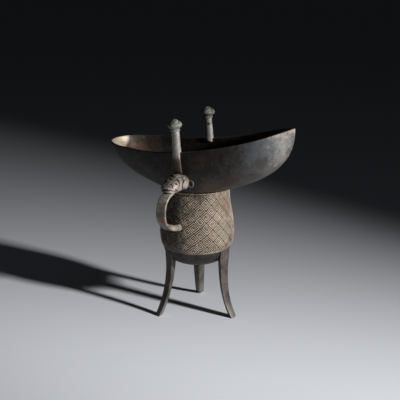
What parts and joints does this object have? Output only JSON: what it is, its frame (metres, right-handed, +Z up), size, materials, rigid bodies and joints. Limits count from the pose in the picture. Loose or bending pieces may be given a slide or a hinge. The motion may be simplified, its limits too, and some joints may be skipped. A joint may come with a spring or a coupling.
{
  "type": "tripod wine cup",
  "caption": "Cast bronze pouring cup with a round patterned belly on curved blade legs, a long open spout, a pointed tail, capped rim posts and a strap handle held in an ox's mouth",
  "frame": {"origin": "on the floor under the middle of the cup's footprint", "axes": "+Z up; the spout points to -X, the tail to +X and the handle to -Y"},
  "size_m": [0.1854, 0.1078, 0.1906],
  "materials": {
    "aged_bronze": "dark grey-brown patina, worn paler on raised places"
  },
  "bodies": {
    "root": {"wine_cup": "aged_bronze"}
  },
  "joints": []
}
